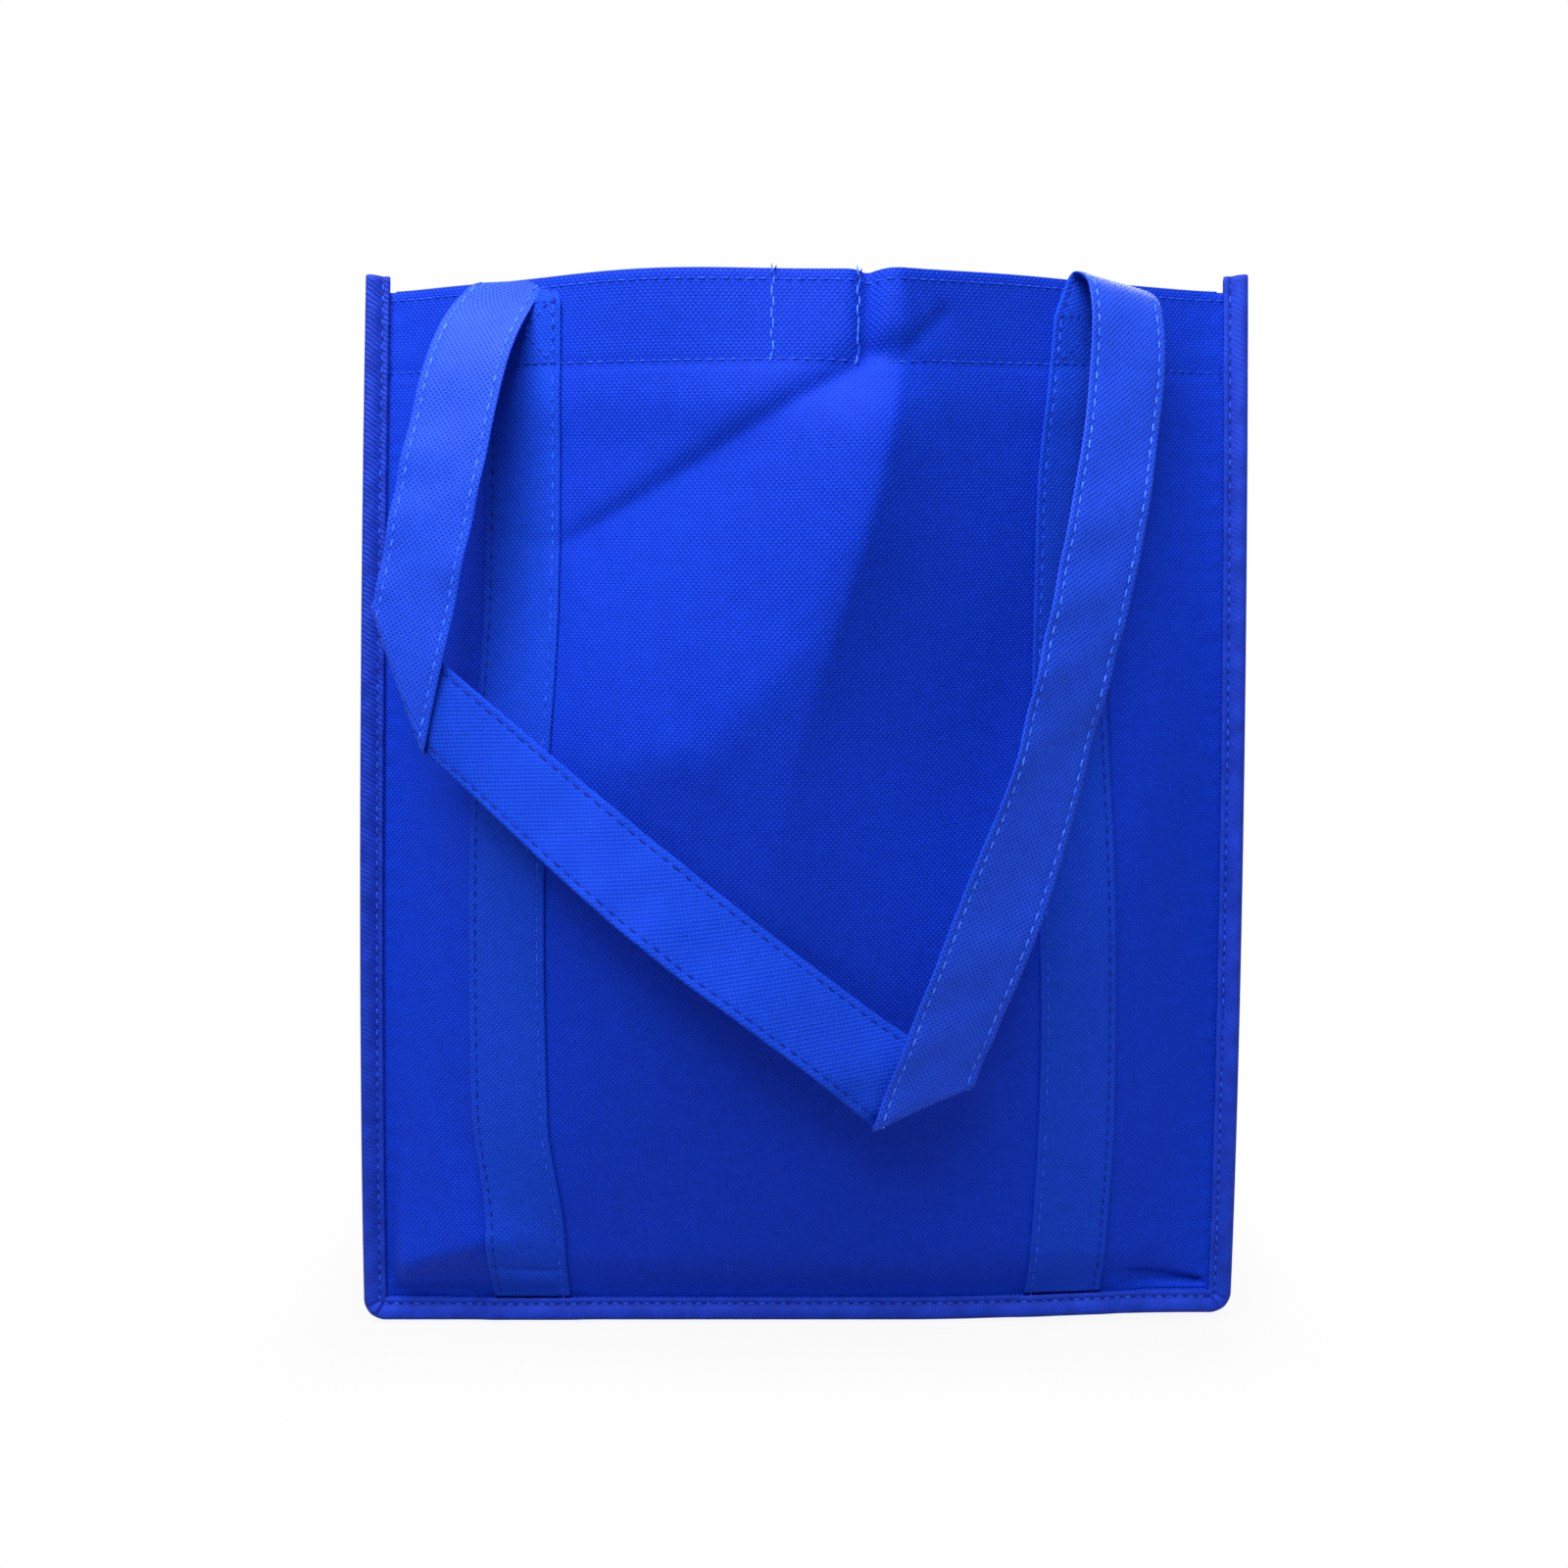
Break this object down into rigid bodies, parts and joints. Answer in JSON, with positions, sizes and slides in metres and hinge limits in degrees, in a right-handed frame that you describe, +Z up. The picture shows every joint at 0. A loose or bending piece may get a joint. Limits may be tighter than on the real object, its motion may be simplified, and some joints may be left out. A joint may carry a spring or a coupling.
{
  "type": "reusable grocery tote bag",
  "caption": "Open-topped carrier bag sewn from spunbond cloth, with a gusset for its sides and base, bound seams, a turned hem and strap handles that flop over its faces.",
  "frame": {"origin": "middle of the base, on the ground", "axes": "+Z up through the mouth, -Y towards the face that the picture shows, +X to the right in that view"},
  "size_m": [0.3332, 0.3818, 0.386],
  "materials": {
    "cloth": "embossed spunbond cloth, matt with a slight plastic sheen",
    "strap": "folded spunbond cloth, stitched along both edges",
    "binding": "stretched spunbond tape with slanting ribs",
    "board": "plain rigid sheet"
  },
  "bodies": {
    "root": {"front_panel": "cloth", "back_panel": "cloth", "gusset": "cloth", "front_binding": "binding", "back_binding": "binding", "front_handle": "strap", "back_handle": "strap", "front_rack_loop": "strap", "back_rack_loop": "strap", "base_board": "board"}
  },
  "joints": []
}
